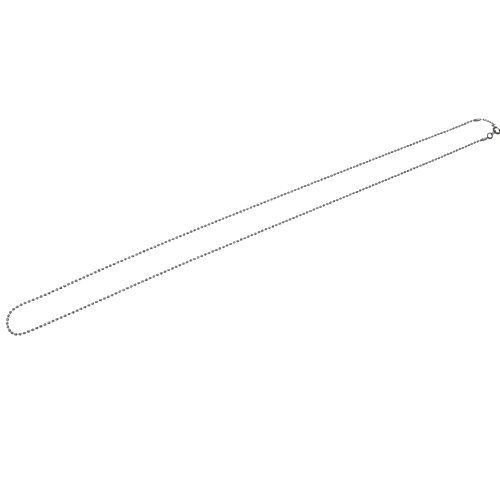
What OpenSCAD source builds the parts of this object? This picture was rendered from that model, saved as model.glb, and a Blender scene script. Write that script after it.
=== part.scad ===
// Ball chain necklace with a spring ring clasp, closed and lying flat as a
// long narrow loop. Millimetres, +Z up, the surface it lies on is z = 0.
// X runs along the loop, with the clasp at +X and the turn at -X.

/* [Chain] */
// Length of the closed loop as it lies
loop_len = 277; // [240:1:320]
// Diameter of the balls, and so of each strand
ball_d = 1.5; // [1.3:0.05:1.7]

/* [End cups] */
// Outer diameter of an end cup
cup_d = 1.7; // [1.6:0.05:2.2]
// Length of an end cup, from its mouth to the tip of its dome
cup_len = 2.8; // [2.2:0.1:3.2]
// Outer diameter of the loop soldered to an end cup
cup_loop_d = 1.9; // [1.8:0.05:2.1]
// Wire diameter of that loop
cup_loop_wire = 0.3; // [0.25:0.01:0.34]
// Depth of the crimped groove round an end cup
crimp_depth = 0.12; // [0.05:0.01:0.2]
// Distance of the groove from the mouth
crimp_at = 0.7; // [0.5:0.05:1]

/* [Small links] */
// Outer length of a small link
link_len = 2.22; // [2:0.01:2.6]
// Outer width of a small link
link_w = 1.35; // [1.3:0.05:1.6]
// Wire diameter of a small link
link_wire = 0.4; // [0.3:0.01:0.42]

/* [Hook link] */
// Outer length of the oval link that the clasp holds
hook_len = 4.8; // [4.5:0.1:5.4]
// Outer width of that link
hook_w = 2.3; // [2.25:0.05:2.6]
// Wire diameter of that link
hook_wire = 0.4; // [0.35:0.01:0.42]

/* [End ring] */
// Outer diameter of the closed end ring
end_ring_d = 3.9; // [3.6:0.05:4.1]
// Wire diameter of the end ring
end_ring_wire = 0.85; // [0.6:0.05:0.9]
// Lean of the end ring from lying flat
end_ring_lean = 31; // [26:1:36]

/* [Spring ring] */
// Outer diameter of the spring ring
clasp_d = 5; // [4.8:0.1:6]
// Outer diameter of its tube
clasp_tube_d = 1.15; // [1.1:0.05:1.3]
// Wall of the tube
clasp_wall = 0.22; // [0.18:0.01:0.26]
// Arc of the gate that the bolt closes
gate_arc = 50; // [40:1:52]
// Diameter of the thumb lever's round head
lever_head_d = 0.95; // [0.7:0.05:1]
// Diameter of the lever's stem
lever_stem_d = 0.26; // [0.2:0.01:0.3]
// Length of stem that shows below the head
lever_stem_len = 0.7; // [0.1:0.05:0.8]
// Outer diameter of the eyelet soldered to the tube
eyelet_d = 2; // [1.9:0.05:2.3]
// Wire diameter of the eyelet
eyelet_wire = 0.42; // [0.35:0.01:0.45]

/* [Hidden] */
// Play between two linked wires
play = 0.06;
// Play between wires that lean across each other
lean_play = 0.18;
// Radial clearance of the bolt in its tube
bolt_gap = 0.05;
// Clearance on each side of the lever's stem in its slot
slot_gap = 0.06;
// Gap between the end of a strand and the mouth of its cup
mouth_gap = 0.02;
// How far a soldered loop's wire sinks into what carries it
solder_sink = 0.1;

// The routes and places below are drawn in this unit
drawn_unit = 1;
// They are drawn for a loop of this length
drawn_len = 277;
stretch = loop_len / drawn_len;
// Centre of the spring ring, seen from above
clasp_at = [135.8 * stretch, -5.3] * drawn_unit;
// Directions seen from above, in degrees from +X
lift_dir = 135;                         // side of the spring ring that is raised
eyelet_dir = 76;                        // eyelet, from the ring's centre
lever_dir = 103;                        // lever, with the gate closed
gate_dir = 58;                          // edge of the gate next to the eyelet
bolt_bite = 6;                          // how far the bolt's tip goes in past the gate
tail_arc = 8;                           // bolt left behind the lever
link_dirs = [100, 107, 113, 119, 126, 136]; // eyelet to the far cup's loop, link by link
far_cup_dir = 163.5;                    // from the far cup's loop to its strand
hook_dir = 195;                         // spring ring to the end ring
end_ring_dir = 198;                     // end ring to the near cup
near_cup_dir = 175;                     // from the near cup's loop to its strand

// Routes of the two strands, seen from above, from the middle of the turn
turn_at = [-137.6, -1.2];
far_route = [turn_at, [-137, 0.9], [-136.1, 2.9], [-134.8, 4.5], [-132.9, 5.6],
    [-130.5, 6.1], [-120, 6.3], [-110, 6.7], [-95, 7.4], [-75, 8], [-50, 8.4], [-25, 8.5],
    [0, 8.3], [25, 8.1], [50, 7.8], [75, 7.4], [100, 6.9], [118, 6.5]];
near_route = [turn_at, [-137.6, -3.1], [-137.2, -4.9], [-136.4, -6.4], [-135, -7.6],
    [-133, -8.3], [-130.5, -8.5], [-120, -8.4], [-100, -8], [-75, -7.3], [-50, -6.8],
    [-25, -6.8], [0, -6.8], [25, -6.9], [50, -7], [75, -7.1], [100, -7.1], [112, -7]];
// Longest step between two rings of a strand's tube, and its number of sides
ring_step = 9;
sides = 8;

// Height of the cups' axes: the widest of what hangs on them touches the surface
axis_z = max(cup_d, link_w) / 2;
link_count = len(link_dirs) - 1;

// Direction and point helpers
function dir(az, el = 0) = [cos(el) * cos(az), cos(el) * sin(az), sin(el)];
function flat(v) = [v[0], v[1], 0];
function unit(v) = v / norm(v);
// Point on a circle of radius r, leaning by lean with its raised side towards az,
// at angle a from that side within the circle's own plane
function on_leaning(az, lean, r, a) = r * (cos(a) * dir(az, lean) + sin(a) * dir(az + 90));

// Spring ring
clasp_r = (clasp_d - clasp_tube_d) / 2;
bore_r = clasp_tube_d / 2 - clasp_wall;
bolt_r = bore_r - bolt_gap;
hook_z = hook_w / 2;
clasp_lean = asin((hook_z - clasp_tube_d / 2) / (clasp_r * (1 + cos(hook_dir - lift_dir))));
clasp_c = [clasp_at[0], clasp_at[1], clasp_tube_d / 2 + clasp_r * sin(clasp_lean)];
open_arc = gate_arc + bolt_bite + 2;
function on_clasp(r, az) = clasp_c + on_leaning(lift_dir, clasp_lean, r, az - lift_dir);
eyelet_r = (eyelet_d - eyelet_wire) / 2;
eyelet_out = clasp_d / 2 + eyelet_d / 2 - solder_sink;

// Joints of the small links, from the eyelet to the far cup's loop, in one arc that
// comes down from the eyelet's height to the cup's
link_pitch = link_len - 2 * link_wire - play;
cup_loop_r = (cup_loop_d - cup_loop_wire) / 2;
link_fall = -asin((joint_at(0)[2] - axis_z) / (link_count * link_pitch));
function joint_at(i) = i == 0
    ? on_clasp(eyelet_out, eyelet_dir)
        + on_leaning(lift_dir, clasp_lean, eyelet_r, link_dirs[0] - lift_dir)
        - (eyelet_wire + lean_play) / 2 * dir(link_dirs[0])
    : joint_at(i - 1) + link_pitch * dir(link_dirs[i - 1], link_fall);
far_loop_c = joint_at(link_count)
    + (cup_loop_r - (cup_loop_wire + lean_play) / 2) * dir(link_dirs[link_count]);

// End ring: it leans so that its wire runs through the near cup's loop
end_r = (end_ring_d - end_ring_wire) / 2;
end_z = end_r * sin(end_ring_lean) + end_ring_wire / 2;
to_cup = acos((axis_z - end_z) / (end_r * sin(end_ring_lean)));
end_lift_dir = end_ring_dir - atan2(sin(to_cup), cos(end_ring_lean) * cos(to_cup));
from_lift = hook_dir + 180 - end_lift_dir;
to_hook = atan2(sin(from_lift) * cos(end_ring_lean), cos(from_lift));
function on_end_ring(a) = on_leaning(end_lift_dir, end_ring_lean, end_r, a);

// Hook link: from the tube of the spring ring up to the wire of the end ring
hook_start = on_clasp(clasp_r, hook_dir);
hook_half = (hook_len - hook_wire) / 2;
hook_back = clasp_tube_d / 2 + hook_wire / 2 + play;
hook_reach = 2 * hook_half - hook_back - (end_ring_wire + hook_wire) / 2 - lean_play;
hook_rise = asin((end_z + on_end_ring(to_hook)[2] - hook_start[2]) / hook_reach);
hook_c = hook_start + (hook_half - hook_back) * dir(hook_dir, hook_rise);
end_c = hook_start + hook_reach * dir(hook_dir, hook_rise) - on_end_ring(to_hook);
// The near cup is turned on its length until its loop faces along the end ring's wire
cup_along = sin(to_cup) * dir(end_lift_dir, end_ring_lean) - cos(to_cup) * dir(end_lift_dir + 90);
near_cup_roll = atan2(cup_along * dir(near_cup_dir + 90), -cup_along[2]);
near_loop_c = end_c + on_end_ring(to_cup)
    + (cup_loop_r - (cup_loop_wire + end_ring_wire) / 2 - lean_play) * dir(end_ring_dir);

// Strands: smooth curves through the route's points, up to the mouths of the cups
cup_back = cup_loop_r + cup_loop_wire / 2 - solder_sink + cup_len;
strand_back = cup_back + mouth_gap;
function strand_pts(route, loop_c, cup_dir) = concat(
    [for (p = route) [p[0] * stretch * drawn_unit, p[1] * drawn_unit, ball_d / 2]],
    [loop_c + strand_back * dir(cup_dir)]);
far_pts = strand_pts(far_route, far_loop_c, far_cup_dir);
near_pts = strand_pts(near_route, near_loop_c, near_cup_dir);
// Heading at point i: along the turn at the start, along the cup at the end
function heading(p, i, first, last) =
    i == 0 ? first
    : i == len(p) - 1 ? last
    : let (a = p[i] - p[i - 1], b = p[i + 1] - p[i])
        unit(flat(a * norm(b) / norm(a) + b * norm(a) / norm(b)));
function blend(p, i, m0, m1, t) = let (d = norm(p[i + 1] - p[i]))
    (1 + 2 * t) * (1 - t) ^ 2 * p[i] + t * (1 - t) ^ 2 * d * m0
    + t ^ 2 * (3 - 2 * t) * p[i + 1] - t ^ 2 * (1 - t) * d * m1;
function slope(p, i, m0, m1, t) = let (d = norm(p[i + 1] - p[i]))
    unit(6 * t * (1 - t) * (p[i + 1] - p[i]) + (1 - t) * (1 - 3 * t) * d * m0
    + t * (3 * t - 2) * d * m1);
// Stations [place, heading] along a strand
function stations(p, first, last) = concat(
    [[p[0], first]],
    [for (i = [0 : len(p) - 2])
        let (n = ceil(norm(p[i + 1] - p[i]) / ring_step),
            m0 = heading(p, i, first, last), m1 = heading(p, i + 1, first, last))
        for (k = [1 : n]) [blend(p, i, m0, m1, k / n), slope(p, i, m0, m1, k / n)]]);

module strand(p, first, last) {
    st = stations(p, first, last);
    corner_r = ball_d / 2 / cos(180 / sides);
    pts = [for (s = st)
        let (side = unit([-s[1][1], s[1][0], 0]), up = cross(s[1], side))
        for (k = [0 : sides - 1])
            let (a = (k + 0.5) * 360 / sides)
            s[0] + corner_r * (cos(a) * side + sin(a) * up)];
    n = len(st);
    faces = concat(
        [[for (k = [0 : sides - 1]) k]],
        [for (i = [0 : n - 2], k = [0 : sides - 1]) let (j = (k + 1) % sides)
            [i * sides + k, (i + 1) * sides + k, (i + 1) * sides + j, i * sides + j]],
        [[for (k = [sides - 1 : -1 : 0]) (n - 1) * sides + k]]);
    polyhedron(points = pts, faces = faces);
}

// Round ring of wire in the XY plane, r from its centre to the wire's centre
module wire_ring(r, wire) {
    rotate_extrude($fn = 48) translate([r, 0]) circle(d = wire, $fn = 24);
}

// Oval link in the XY plane, along X
module oval_link(length, width, wire) {
    r = (width - wire) / 2;
    straight = length - width;
    for (s = [0, 180]) rotate([0, 0, s]) {
        translate([straight / 2, 0, 0])
            rotate_extrude(angle = 180, start = -90, $fn = 48)
                translate([r, 0]) circle(d = wire, $fn = 24);
        translate([-straight / 2, r, 0])
            rotate([0, 90, 0]) cylinder(d = wire, h = straight, $fn = 24);
    }
}

// Puts a piece whose length runs along X at a place, in a direction, turned on its length
module along(at, az, el = 0, roll = 0) {
    translate(at) rotate([0, 0, az]) rotate([0, -el, 0]) rotate([roll, 0, 0]) children();
}

// Turns a flat piece so that its side towards az is raised, its other directions kept
module leaning(at, az, lean) {
    translate(at) rotate([0, 0, az]) rotate([0, -lean, 0]) rotate([0, 0, -az]) children();
}

// End cup: the loop's centre is the origin, the mouth opens towards +X
module end_cup() {
    dome_tip = cup_back - cup_len;
    difference() {
        union() {
            translate([dome_tip + cup_d / 2, 0, 0]) sphere(d = cup_d, $fn = 48);
            translate([dome_tip + cup_d / 2, 0, 0]) rotate([0, 90, 0])
                cylinder(d = cup_d, h = cup_len - cup_d / 2, $fn = 48);
        }
        translate([cup_back - crimp_at, 0, 0]) rotate([0, 90, 0])
            wire_ring(cup_d / 2, 2 * crimp_depth);
    }
    wire_ring(cup_loop_r, cup_loop_wire);
}

module small_link(i) {
    // Links are numbered from the far cup; the first stands on edge, the next lies flat
    k = link_count - i;
    mid = (joint_at(k) + joint_at(k + 1)) / 2;
    along(mid, link_dirs[k], link_fall, i % 2 == 1 ? 90 : 0) oval_link(link_len, link_w, link_wire);
}

// Sector of a bent round bar, from angle a over the arc
module bent_bar(bar_d, a, arc) {
    rotate_extrude(angle = arc, start = a, $fn = 96)
        translate([clasp_r, 0]) circle(d = bar_d, $fn = 32);
}

module chain_far() {
    color("silver") strand(far_pts, dir(90), -dir(far_cup_dir));
}

module chain_near() {
    color("silver") strand(near_pts, dir(-90), -dir(near_cup_dir));
}

module far_cup() {
    color("gainsboro") along(far_loop_c, far_cup_dir) end_cup();
}

module near_cup() {
    color("gainsboro") along(near_loop_c, near_cup_dir, 0, near_cup_roll) end_cup();
}

module link_1() { color("lightgray") small_link(1); }
module link_2() { color("lightgray") small_link(2); }
module link_3() { color("lightgray") small_link(3); }
module link_4() { color("lightgray") small_link(4); }
module link_5() { color("lightgray") small_link(5); }

module hook_link() {
    color("lightgray") along(hook_c, hook_dir, hook_rise, 90) oval_link(hook_len, hook_w, hook_wire);
}

module end_ring() {
    color("lightgray") leaning(end_c, end_lift_dir, end_ring_lean) wire_ring(end_r, end_ring_wire);
}

// Hollow case: a tube bent into a ring, open at the gate, with its eyelet and lever slot
module spring_ring() {
    ring_arc = 360 - gate_arc;
    slot_w = lever_stem_d + 2 * slot_gap;
    slot_end = asin(slot_w / 2 / (clasp_d / 2));
    color("silver") leaning(clasp_c, lift_dir, clasp_lean) difference() {
        union() {
            bent_bar(clasp_tube_d, gate_dir, ring_arc);
            rotate([0, 0, eyelet_dir]) translate([eyelet_out, 0, 0])
                wire_ring(eyelet_r, eyelet_wire);
        }
        bent_bar(2 * bore_r, gate_dir - 1, ring_arc + 2);
        rotate_extrude(angle = open_arc + 2 * slot_end, start = lever_dir - slot_end, $fn = 96)
            translate([clasp_r, -slot_w / 2]) square([clasp_tube_d, slot_w]);
    }
}

// Bolt: a bent round bar that slides round inside the case, with the thumb lever
module spring_ring_bolt() {
    tip = gate_dir - gate_arc - bolt_bite;
    head_out = clasp_d / 2 + lever_stem_len + lever_head_d / 2;
    color("darkgray") leaning(clasp_c, lift_dir, clasp_lean) {
        bent_bar(2 * bolt_r, tip, lever_dir + tail_arc - tip);
        rotate([0, 0, lever_dir]) {
            translate([clasp_r, 0, 0]) rotate([0, 90, 0])
                cylinder(d = lever_stem_d, h = head_out - clasp_r, $fn = 24);
            translate([head_out, 0, 0]) sphere(d = lever_head_d, $fn = 32);
        }
    }
}

chain_far();
chain_near();
far_cup();
near_cup();
link_1();
link_2();
link_3();
link_4();
link_5();
hook_link();
end_ring();
spring_ring();
spring_ring_bolt();
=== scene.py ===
"""Looks of a ball chain necklace with a spring ring clasp, lying closed on a pale surface."""

import math
import random

import bpy
from mathutils import Matrix, Vector


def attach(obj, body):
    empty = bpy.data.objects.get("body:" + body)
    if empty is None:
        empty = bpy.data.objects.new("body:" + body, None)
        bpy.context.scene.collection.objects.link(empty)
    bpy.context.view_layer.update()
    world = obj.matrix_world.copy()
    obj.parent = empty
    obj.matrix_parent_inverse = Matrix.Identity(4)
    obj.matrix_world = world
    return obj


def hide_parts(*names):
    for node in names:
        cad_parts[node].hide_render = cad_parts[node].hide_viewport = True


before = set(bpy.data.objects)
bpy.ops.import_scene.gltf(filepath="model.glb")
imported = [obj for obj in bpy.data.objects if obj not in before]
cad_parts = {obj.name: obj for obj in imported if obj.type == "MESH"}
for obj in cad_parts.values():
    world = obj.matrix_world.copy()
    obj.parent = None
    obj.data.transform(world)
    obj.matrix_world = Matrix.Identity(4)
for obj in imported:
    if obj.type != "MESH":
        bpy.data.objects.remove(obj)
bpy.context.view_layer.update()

MM = 0.001

# Balls. The end rows of facets close into a hole with a rim, and a ball leans off the string by
# at most its sway (sideways) and its nod (up and down), as shares of its length
BALL_D = 1.5 * MM
BALL_STEP = 1.95 * MM
FACETS_ROUND = 9
FACET_ROWS = 7
RIM_W = 0.1 * MM
HOLE_DEPTH = 0.12 * MM
SWAY = 0.06
NOD = 0.05

# Pins between the balls, and the shorter ones that go into the cups and meet at the turn
PIN_D = 0.32 * MM
PIN_SIDES = 6
PIN_LEN = 0.85 * MM
END_PIN_LEN = 0.38 * MM

# Routes of the two halves of the string, in millimetres, from the turn to the cups' mouths
TURN = (-137.6, -1.2)
FAR_ROUTE = [TURN, (-137, 0.9), (-136.1, 2.9), (-134.8, 4.5), (-132.9, 5.6), (-130.5, 6.1),
             (-120, 6.3), (-110, 6.7), (-95, 7.4), (-75, 8), (-50, 8.4), (-25, 8.5), (0, 8.3),
             (25, 8.1), (50, 7.8), (75, 7.4), (100, 6.9), (118, 6.5), (130.04, 6.04)]
NEAR_ROUTE = [TURN, (-137.6, -3.1), (-137.2, -4.9), (-136.4, -6.4), (-135, -7.6), (-133, -8.3),
              (-130.5, -8.5), (-120, -8.4), (-100, -8), (-75, -7.3), (-50, -6.8), (-25, -6.8),
              (0, -6.8), (25, -6.9), (50, -7), (75, -7.1), (100, -7.1), (112, -7),
              (124.77, -7.06)]
STEPS_PER_STRETCH = 40

# End cups: which way each strand leaves its cup, the middle of its soldered loop, and how far the
# loop and its solder reach back from that middle, which is the part that gets the links' painted shade
FAR_CUP_DIR = math.radians(163.5)
NEAR_CUP_DIR = math.radians(175)
CUP_Z = 0.85 * MM
FAR_LOOP = Vector((133.55 * MM, 5 * MM, CUP_Z))
NEAR_LOOP = Vector((128.42 * MM, -7.38 * MM, CUP_Z))
LOOP_REACH = 0.84 * MM
CUP_EDGE = 0.05 * MM

# Smoothing of the solids' copies
WELD = 0.0005 * MM
SMOOTH_BELOW = math.radians(40)
BEVEL_ABOVE = math.radians(50)

# Camera, in metres; the lens and the film in millimetres
LENS = 50
FILM_W = 36
CAMERA_PLACE = Vector((-0.09729, -0.17264, 0.2925))
CAMERA_LOOK = Vector((0.2285, 0.4645, -0.8556))

# Studio, in metres. The softbox is longer along an axis whose share is under 1
FLOOR_W = 2.0
SOFTBOX_DIR = Vector((-0.26, -0.12, 0.95)).normalized()
SOFTBOX_SHARES = (1, 0.55, 1)
SIDE_BOX_DIR = Vector((0.7, 0.35, 0.6)).normalized()
SIDE_BOX_LIGHT = 0.9


def add_camera():
    data = bpy.data.cameras.new("camera")
    data.lens = LENS
    data.sensor_width = FILM_W
    data.clip_start = 0.01
    camera = bpy.data.objects.new("camera", data)
    bpy.context.scene.collection.objects.link(camera)
    camera.location = CAMERA_PLACE
    camera.rotation_euler = CAMERA_LOOK.to_track_quat("-Z", "Y").to_euler()
    bpy.context.scene.camera = camera


# Finishes

class Val:
    """A shader socket that can be used in sums."""

    def __init__(self, nodes, socket):
        self.nodes = nodes
        self.socket = socket

    def sum_with(self, operation, other, swapped=False):
        pair = [other, self] if swapped else [self, other]
        return self.nodes.make("ShaderNodeMath", {"operation": operation}, {0: pair[0], 1: pair[1]})

    def __add__(self, other):
        return self.sum_with("ADD", other)

    def __radd__(self, other):
        return self.sum_with("ADD", other, True)

    def __sub__(self, other):
        return self.sum_with("SUBTRACT", other)

    def __rsub__(self, other):
        return self.sum_with("SUBTRACT", other, True)

    def __mul__(self, other):
        return self.sum_with("MULTIPLY", other)

    def __rmul__(self, other):
        return self.sum_with("MULTIPLY", other, True)


class Nodes:
    """A node tree, with one method that makes any node in it."""

    def __init__(self, tree):
        self.tree = tree

    def make(self, kind, settings, sockets, out=0):
        node = self.tree.nodes.new(kind)
        for name, value in settings.items():
            if name == "stops":
                ramp = node.color_ramp
                while len(ramp.elements) < len(value):
                    ramp.elements.new(0.5)
                for element, (at, shade) in zip(ramp.elements, value):
                    element.position = at
                    element.color = shade
            else:
                setattr(node, name, value)
        for name, value in sockets.items():
            self.feed(node.inputs[name], value)
        return Val(self, node.outputs[out]) if len(node.outputs) else None

    def feed(self, socket, value):
        if isinstance(value, Val):
            self.tree.links.new(value.socket, socket)
        else:
            socket.default_value = value

    def ramp(self, value, stops):
        return self.make("ShaderNodeValToRGB", {"stops": stops}, {"Fac": value}, "Color")

    def mix(self, share, first, second, blend="MIX"):
        return self.make("ShaderNodeMix", {"data_type": "RGBA", "blend_type": blend}, {
            "Factor": share, 6: first, 7: second}, 2)


class Finish(Nodes):
    """The nodes of a material."""

    def __init__(self, name):
        self.material = bpy.data.materials.new(name)
        self.material.use_nodes = True
        super().__init__(self.material.node_tree)
        self.shader = self.tree.nodes["Principled BSDF"]
        self.place = self.make("ShaderNodeTexCoord", {}, {}, "Object")

    def set(self, **values):
        for name, value in values.items():
            self.feed(self.shader.inputs[name.replace("_", " ")], value)

    def noise(self, scale, detail=2.0, roughness=0.5):
        return self.make("ShaderNodeTexNoise", {}, {
            "Vector": self.place, "Scale": scale, "Detail": detail, "Roughness": roughness}, "Fac")


def grey(level, warm=0.0):
    return (level, level * (1 - warm), level * (1 - 2 * warm), 1)


def silver(name, bright, dull, gloss, wear_scale, scratch):
    """Worn silver: slightly uneven colour, fine wear in its gloss, and hairline scratches."""
    finish = Finish(name)
    patches = finish.noise(wear_scale, 3.0, 0.6)
    tint = finish.ramp(patches, [(0.38, dull), (0.62, bright)])
    smudge = finish.noise(wear_scale * 3.1, 4.0, 0.7)
    hairlines = finish.noise(wear_scale * 22, 2.0, 0.9)
    height = finish.make("ShaderNodeBump", {}, {
        "Strength": scratch, "Distance": 0.02 * MM, "Height": hairlines}, "Normal")
    finish.set(Base_Color=tint, Metallic=1.0, Roughness=gloss + 0.08 * smudge, Normal=height)
    return finish.material


def floor_finish():
    finish = Finish("pale surface")
    mottle = finish.noise(9.0, 2.0)
    finish.set(Base_Color=finish.mix(mottle, grey(0.93), grey(0.95)),
               Roughness=0.75 + 0.1 * mottle)
    return finish.material


# Building helpers

def deselect():
    if bpy.context.object and bpy.context.object.mode != "OBJECT":
        bpy.ops.object.mode_set(mode="OBJECT")
    bpy.ops.object.select_all(action="DESELECT")


def pick(piece):
    deselect()
    piece.select_set(True)
    bpy.context.view_layer.objects.active = piece


def pick_faces(piece, wanted):
    """Goes to edit mode with only the faces selected for which wanted(face) is true."""
    pick(piece)
    bpy.ops.object.mode_set(mode="EDIT")
    bpy.ops.mesh.select_mode(type="FACE")
    bpy.ops.mesh.select_all(action="DESELECT")
    bpy.ops.object.mode_set(mode="OBJECT")
    for face in piece.data.polygons:
        face.select = bool(wanted(face))
    bpy.ops.object.mode_set(mode="EDIT")


def shaped(piece, matrix):
    """Puts a turn or a place into the piece's mesh."""
    piece.data.transform(matrix)
    piece.data.update()


def copy_of(piece, matrix):
    twin = piece.copy()
    twin.data = piece.data.copy()
    bpy.context.scene.collection.objects.link(twin)
    shaped(twin, matrix)
    return twin


def joined(parts, name):
    deselect()
    for part in parts:
        part.select_set(True)
    bpy.context.view_layer.objects.active = parts[0]
    bpy.ops.object.join()
    whole = bpy.context.object
    whole.name = name
    return whole


def dressed(piece, finish):
    piece.data.materials.clear()
    piece.data.materials.append(finish)


def dress_part(piece, finish, wanted):
    """Gives another finish to the faces for which wanted(place of the face's middle) is true."""
    piece.data.materials.append(finish)
    for face in piece.data.polygons:
        if wanted(face.center):
            face.material_index = len(piece.data.materials) - 1


# The string of balls

def curve_through(route, first, last):
    """Dense points along a smooth curve through the route, from the turn to a cup's mouth."""
    pts = [Vector((x * MM, y * MM, BALL_D / 2)) for x, y in route]
    pts[-1].z = CUP_Z
    heads = [first]
    for i in range(1, len(pts) - 1):
        a, b = pts[i] - pts[i - 1], pts[i + 1] - pts[i]
        head = a * (b.length / a.length) + b * (a.length / b.length)
        head.z = 0
        heads.append(head.normalized())
    heads.append(last)
    dense = []
    for i in range(len(pts) - 1):
        length = (pts[i + 1] - pts[i]).length
        for k in range(STEPS_PER_STRETCH):
            t = k / STEPS_PER_STRETCH
            dense.append((1 + 2 * t) * (1 - t) ** 2 * pts[i] + t * (1 - t) ** 2 * length * heads[i]
                         + t ** 2 * (3 - 2 * t) * pts[i + 1]
                         - t ** 2 * (1 - t) * length * heads[i + 1])
    dense.append(pts[-1])
    return dense


def places_along(dense):
    """Centres of the balls: one string of even steps, half a step in from each end."""
    length = sum((b - a).length for a, b in zip(dense, dense[1:]))
    count = round(length / BALL_STEP)
    step = length / count
    centres, walked = [], 0.0
    for a, b in zip(dense, dense[1:]):
        d = (b - a).length
        while len(centres) < count and walked + d >= (len(centres) + 0.5) * step:
            centres.append(a.lerp(b, ((len(centres) + 0.5) * step - walked) / d))
        walked += d
    return centres


def pointing(place, along, spin=0.0):
    """Puts a piece that lies along X at a place, pointing along a direction, spun on its length."""
    turn = along.to_track_quat("X", "Z").to_matrix().to_4x4()
    return Matrix.Translation(place) @ turn @ Matrix.Rotation(spin, 4, "X")


def faceted_ball(finish):
    """A ball cut with flat facets in rows, with a hole at each end for its pins."""
    deselect()
    bpy.ops.mesh.primitive_uv_sphere_add(
        segments=FACETS_ROUND, ring_count=FACET_ROWS, radius=BALL_D / 2)
    ball = bpy.context.object
    shaped(ball, Matrix.Rotation(math.radians(90), 4, "Y"))
    for side in (1, -1):
        pick_faces(ball, lambda face: len(face.vertices) == 3 and face.center.x * side > 0)
        bpy.ops.mesh.dissolve_faces()
        bpy.ops.mesh.inset(thickness=RIM_W)
        bpy.ops.transform.translate(value=(-side * HOLE_DEPTH, 0, 0))
        bpy.ops.object.mode_set(mode="OBJECT")
    dressed(ball, finish)
    return ball


def pin(length, finish):
    deselect()
    bpy.ops.mesh.primitive_cylinder_add(vertices=PIN_SIDES, radius=PIN_D / 2, depth=length)
    rod = bpy.context.object
    shaped(rod, Matrix.Rotation(math.radians(90), 4, "Y"))
    dressed(rod, finish)
    return rod


def string_of_balls(name, route, first, last, seed):
    """Balls on pins along a route. Each ball is spun and leans a little, as a worn one does."""
    dense = curve_through(route, first, last)
    centres = places_along(dense)
    chance = random.Random(seed)
    ball = faceted_ball(BALL_SILVER)
    rod, end_rod = pin(PIN_LEN, PIN_SILVER_PAINTED_REFLECTION), pin(END_PIN_LEN, PIN_SILVER_PAINTED_REFLECTION)
    parts = []
    for i, place in enumerate(centres):
        before = centres[i - 1] if i else dense[0]
        after = centres[i + 1] if i + 1 < len(centres) else dense[-1]
        along = (after - before).normalized()
        lean = Vector((0, chance.uniform(-SWAY, SWAY), chance.uniform(-NOD, NOD)))
        parts.append(copy_of(ball, pointing(place, (along + lean).normalized(),
                                            chance.uniform(0, math.tau))))
        if i:
            parts.append(copy_of(rod, pointing((place + before) / 2, (place - before).normalized())))
    for end, edge in ((centres[0], dense[0]), (centres[-1], dense[-1])):
        along = (edge - end).normalized()
        parts.append(copy_of(end_rod, pointing(edge - along * END_PIN_LEN / 2, along)))
    for spare in (ball, rod, end_rod):
        bpy.data.objects.remove(spare)
    return joined(parts, name)


# The metal pieces of the clasp end

def refined(node, finish, round_edge=0.0):
    """A smooth copy of a solid, with its sharp edges slightly rounded."""
    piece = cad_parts[node].copy()
    piece.data = piece.data.copy()
    piece.parent = None
    piece.matrix_world = Matrix.Identity(4)
    bpy.context.scene.collection.objects.link(piece)
    piece.name = node + "_finished"
    pick(piece)
    bpy.ops.object.mode_set(mode="EDIT")
    bpy.ops.mesh.select_all(action="SELECT")
    bpy.ops.mesh.remove_doubles(threshold=WELD)
    bpy.ops.object.mode_set(mode="OBJECT")
    if round_edge:
        bevel = piece.modifiers.new("rounded edges", "BEVEL")
        bevel.width = round_edge
        bevel.segments = 2
        bevel.limit_method = "ANGLE"
        bevel.angle_limit = BEVEL_ABOVE
        bpy.ops.object.modifier_apply(modifier=bevel.name)
    pick(piece)
    bpy.ops.object.shade_smooth_by_angle(angle=SMOOTH_BELOW)
    dressed(piece, finish)
    return piece


def finished_cup(node, loop, head):
    """An end cup whose soldered loop gets the links' near-black finish: painted shade."""
    piece = refined(node, CUP_SILVER_PAINTED_REFLECTION, CUP_EDGE)
    dress_part(piece, LINK_SILVER_PAINTED_SHADE, lambda at: (at - loop).dot(head) > -LOOP_REACH)
    return piece


def put(piece, node, body):
    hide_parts(node)
    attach(piece, body)


# Studio

def add_floor():
    deselect()
    bpy.ops.mesh.primitive_plane_add(size=FLOOR_W, location=(0, 0, 0))
    floor = bpy.context.object
    floor.name = "surface"
    dressed(floor, floor_finish())
    floor.visible_glossy = False


def add_light(name, place, size, power):
    """A lamp that lights the floor, and that the silver doesn't mirror."""
    data = bpy.data.lights.new(name, "AREA")
    data.shape = "DISK"
    data.size = size
    data.energy = power
    lamp = bpy.data.objects.new(name, data)
    bpy.context.scene.collection.objects.link(lamp)
    lamp.location = place
    lamp.rotation_euler = (-Vector(place)).to_track_quat("-Z", "Y").to_euler()
    lamp.visible_glossy = False


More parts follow.
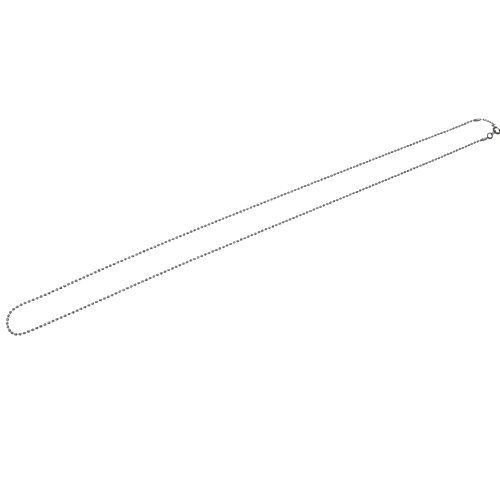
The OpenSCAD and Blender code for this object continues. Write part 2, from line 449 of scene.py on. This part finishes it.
def add_surroundings():
    """A dark studio with one long softbox nearly overhead and a dim one low at the right.

    Their edges fade out. The silver mirrors them, while the camera sees a plain white wall.
    """
    world = bpy.data.worlds.new("studio")
    bpy.context.scene.world = world
    world.use_nodes = True
    studio = Nodes(world.node_tree)
    studio.tree.nodes.clear()
    way = studio.make("ShaderNodeTexCoord", {}, {}, "Generated")
    long_way = studio.make("ShaderNodeVectorMath", {"operation": "MULTIPLY"},
                           {0: way, 1: SOFTBOX_SHARES})
    heading = studio.make("ShaderNodeVectorMath", {"operation": "NORMALIZE"}, {0: long_way})
    near_softbox = studio.make("ShaderNodeVectorMath", {"operation": "DOT_PRODUCT"},
                               {0: heading, 1: SOFTBOX_DIR}, "Value")
    softbox = studio.ramp(near_softbox, [(0.0, grey(0.1)), (0.7, grey(0.05)), (0.8, grey(0.6)),
                                         (0.88, grey(1.8))])
    near_side_box = studio.make("ShaderNodeVectorMath", {"operation": "DOT_PRODUCT"},
                                {0: way, 1: SIDE_BOX_DIR}, "Value")
    side_box = studio.make("ShaderNodeMapRange", {"interpolation_type": "SMOOTHSTEP"}, {
        "Value": near_side_box, "From Min": 0.8, "From Max": 0.95, "To Max": SIDE_BOX_LIGHT}, "Result")
    mirrored = studio.mix(1, softbox, side_box, "ADD")
    for_camera = studio.make("ShaderNodeLightPath", {}, {}, "Is Camera Ray")
    seen = studio.mix(for_camera, mirrored, grey(1))
    background = studio.make("ShaderNodeBackground", {}, {"Color": seen})
    studio.make("ShaderNodeOutputWorld", {}, {"Surface": background})


def add_studio():
    bpy.context.scene.view_settings.view_transform = "Standard"
    add_surroundings()
    add_floor()
    add_light("left box", (-0.7, -0.3, 0.9), 0.35, 5.2)
    add_light("right box", (0.7, 0.5, 0.9), 0.35, 8.5)
    add_light("back box", (-0.2, 0.8, 0.9), 0.3, 8)
    add_light("front box", (0.4, -0.8, 0.9), 0.3, 8)


# The whole necklace

add_camera()

BALL_SILVER = silver("faceted silver", grey(0.42), grey(0.24, 0.01), 0.27, 420.0, 0.05)
# The pins are near white, much lighter than the balls of the same silver: a painted reflection of the
# white floor, which the silver doesn't mirror.
PIN_SILVER_PAINTED_REFLECTION = silver("pin silver painted reflection", grey(0.95), grey(0.9), 0.42, 700.0, 0.05)
# The cups get a lighter silver than the balls all over: a painted reflection of the white floor, which
# their lower sides would mirror.
CUP_SILVER_PAINTED_REFLECTION = silver("cup silver painted reflection", grey(0.76, 0.02), grey(0.6, 0.05), 0.32, 700.0, 0.1)
# The links get a near-black silver, far darker than the balls: painted shade.
LINK_SILVER_PAINTED_SHADE = silver("link silver painted shade", grey(0.13, 0.03), grey(0.08, 0.06), 0.28, 700.0, 0.1)
# The end ring, spring ring and bolt get a silver darker than the balls and warm-tinted: painted shade.
RING_SILVER_PAINTED_SHADE = silver("clasp silver painted shade", grey(0.24, 0.05), grey(0.13, 0.1), 0.27, 500.0, 0.1)
BOLT_SILVER_PAINTED_SHADE = silver("bolt silver painted shade", grey(0.24, 0.05), grey(0.13, 0.1), 0.28, 800.0, 0.1)

far_head = -Vector((math.cos(FAR_CUP_DIR), math.sin(FAR_CUP_DIR), 0))
near_head = -Vector((math.cos(NEAR_CUP_DIR), math.sin(NEAR_CUP_DIR), 0))
balls_far = string_of_balls("balls_far", FAR_ROUTE, Vector((0, 1, 0)), far_head, 11)
balls_near = string_of_balls("balls_near", NEAR_ROUTE, Vector((0, -1, 0)), near_head, 23)
put(balls_far, "chain_far", "necklace")
put(balls_near, "chain_near", "necklace")
put(finished_cup("far_cup", FAR_LOOP, far_head), "far_cup", "necklace")
put(finished_cup("near_cup", NEAR_LOOP, near_head), "near_cup", "necklace")
for node in ("link_1", "link_2", "link_3", "link_4", "link_5", "hook_link"):
    put(refined(node, LINK_SILVER_PAINTED_SHADE), node, "necklace")
for node in ("end_ring", "spring_ring"):
    put(refined(node, RING_SILVER_PAINTED_SHADE), node, "necklace")
put(refined("spring_ring_bolt", BOLT_SILVER_PAINTED_SHADE), "spring_ring_bolt", "bolt")

add_studio()
